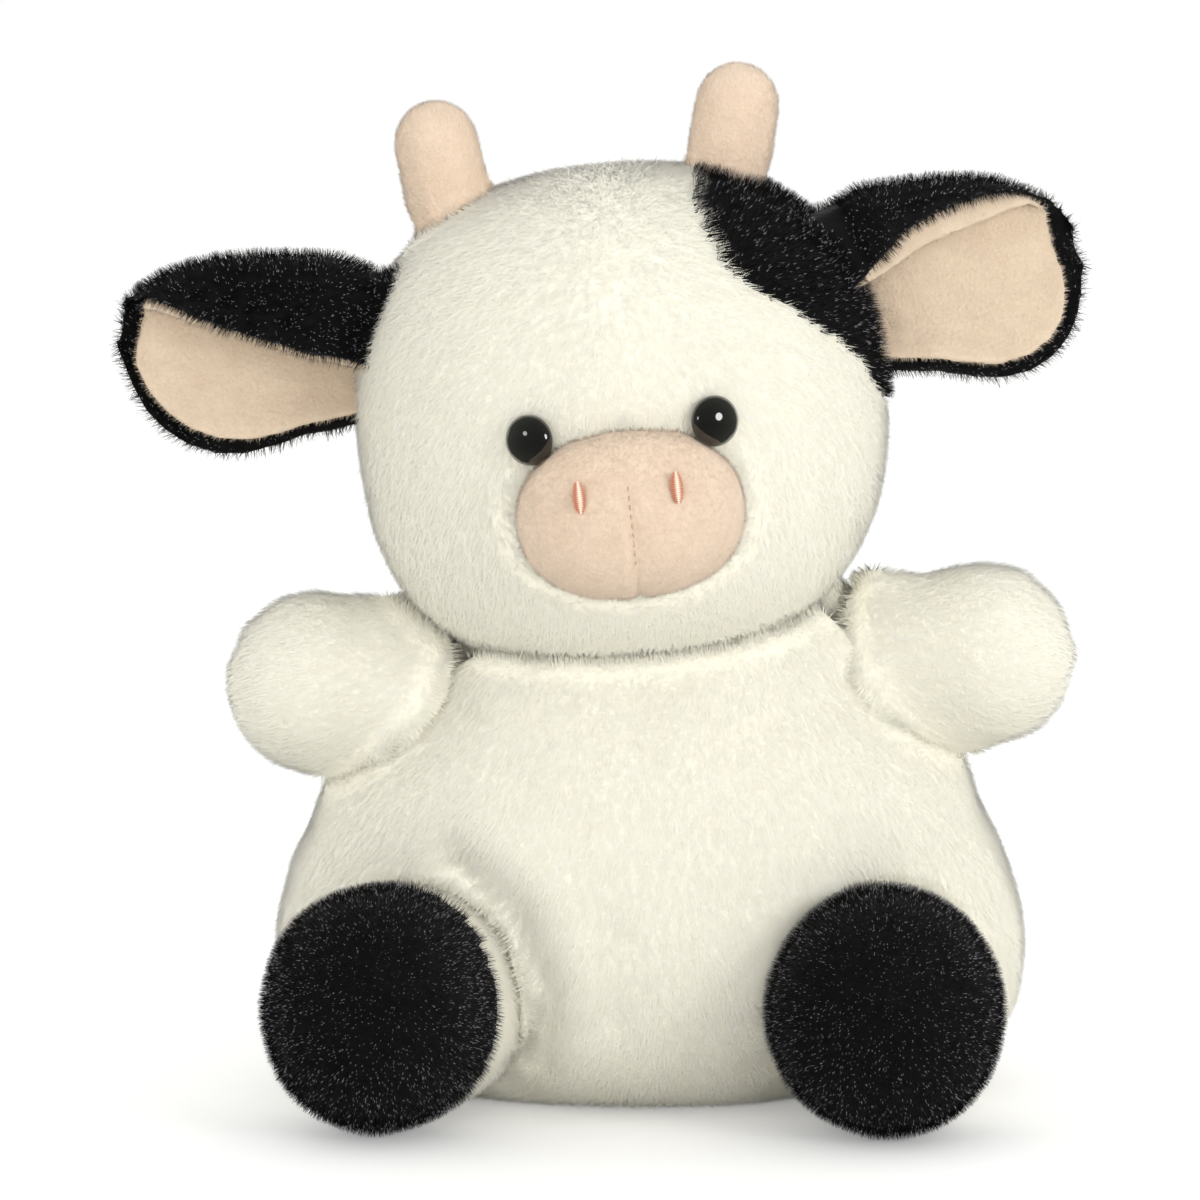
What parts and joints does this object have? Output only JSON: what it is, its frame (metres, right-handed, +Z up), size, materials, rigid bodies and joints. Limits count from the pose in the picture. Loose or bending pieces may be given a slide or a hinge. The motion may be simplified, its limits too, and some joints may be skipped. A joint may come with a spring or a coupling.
{
  "type": "plush cow",
  "caption": "Sitting plush cow with a pear-shaped body, stub arms and legs, folded ears, stub horns and a padded snout; head and limbs move on soft joints.",
  "frame": {"origin": "under the middle of the whole toy, on the surface that it sits on", "axes": "+Z up, the face looks along -Y, +X towards the cow's own left"},
  "size_m": [0.1198, 0.0842, 0.1273],
  "materials": {
    "white_pile": "short fine white pile on a knitted backing",
    "black_pile": "short black pile with a slight sheen",
    "peach_pile": "very short matte peach pile",
    "salmon_thread": "satin stitch embroidery thread",
    "eye_plastic": "polished black",
    "washer_plastic": "natural moulded plastic",
    "fibre_fill": "loose polyester fibre",
    "pellet_cloth": "thin woven inner bag"
  },
  "bodies": {
    "body": {"body_front": "white_pile", "body_back": "white_pile", "body_stuffing": "fibre_fill", "pellet_bag": "pellet_cloth"},
    "neck": {"neck_stuffing": "fibre_fill"},
    "head": {"head_face": "white_pile", "head_back": "white_pile", "head_patch": "black_pile", "head_stuffing": "fibre_fill", "eye_left": "eye_plastic", "eye_washer_left": "washer_plastic", "eye_right": "eye_plastic", "eye_washer_right": "washer_plastic", "muzzle_cover": "peach_pile", "muzzle_stuffing": "fibre_fill", "nostril_stitch_left": "salmon_thread", "nostril_stitch_right": "salmon_thread", "horn_cover_left": "peach_pile", "horn_stuffing_left": "fibre_fill", "horn_cover_right": "peach_pile", "horn_stuffing_right": "fibre_fill"},
    "ear_left": {"ear_back_left": "black_pile", "ear_lining_left": "peach_pile"},
    "ear_right": {"ear_back_right": "black_pile", "ear_lining_right": "peach_pile"},
    "arm_left": {"arm_cover_left": "white_pile", "arm_stuffing_left": "fibre_fill"},
    "arm_right": {"arm_cover_right": "white_pile", "arm_stuffing_right": "fibre_fill"},
    "leg_left": {"leg_cover_left": "white_pile", "foot_pad_left": "black_pile", "leg_stuffing_left": "fibre_fill"},
    "leg_right": {"leg_cover_right": "white_pile", "foot_pad_right": "black_pile", "leg_stuffing_right": "fibre_fill"},
    "tail": {"tail_cover": "white_pile", "tail_tuft": "black_pile"}
  },
  "joints": [
    {"name": "head_nod", "type": "hinge", "parent": "body", "child": "neck", "pos_m": [0.00189, -0.00421, 0.0851], "axis": [1, 0, 0], "range_deg": [-8, 8], "stiffness_Nm_per_rad": 0.03},
    {"name": "head_turn", "type": "hinge", "parent": "neck", "child": "head", "pos_m": [0.00189, -0.00421, 0.0851], "axis": [-0.1045, 0, 0.9945], "range_deg": [-25, 25], "stiffness_Nm_per_rad": 0.02},
    {"name": "ear_left_flap", "type": "hinge", "parent": "head", "child": "ear_left", "pos_m": [0.03078, -0.01021, 0.10121], "axis": [-0.5299, 0, 0.848], "range_deg": [-18, 18], "stiffness_Nm_per_rad": 0.002},
    {"name": "ear_right_flap", "type": "hinge", "parent": "head", "child": "ear_right", "pos_m": [-0.02972, -0.01021, 0.09485], "axis": [0.2164, 0, 0.9763], "range_deg": [-18, 18], "stiffness_Nm_per_rad": 0.002},
    {"name": "arm_left_lift", "type": "hinge", "parent": "body", "child": "arm_left", "pos_m": [0.03668, -0.00521, 0.0547], "axis": [-0.2079, -0.9781, 0], "range_deg": [0, 20], "stiffness_Nm_per_rad": 0.006},
    {"name": "arm_right_lift", "type": "hinge", "parent": "body", "child": "arm_right", "pos_m": [-0.02589, -0.00521, 0.0505], "axis": [-0.2079, 0.9781, 0], "range_deg": [0, 20], "stiffness_Nm_per_rad": 0.006},
    {"name": "leg_left_lift", "type": "hinge", "parent": "body", "child": "leg_left", "pos_m": [0.03309, -0.01921, 0.0153], "axis": [-0.9997, -0.0261, 0], "range_deg": [0, 9], "stiffness_Nm_per_rad": 0.012},
    {"name": "leg_right_lift", "type": "hinge", "parent": "body", "child": "leg_right", "pos_m": [-0.02221, -0.01921, 0.0153], "axis": [-0.9171, 0.3987, 0], "range_deg": [0, 9], "stiffness_Nm_per_rad": 0.012},
    {"name": "tail_swing", "type": "hinge", "parent": "body", "child": "tail", "pos_m": [0.00549, 0.02952, 0.025], "axis": [0, 0, 1], "range_deg": [-25, 25], "stiffness_Nm_per_rad": 0.001}
  ]
}
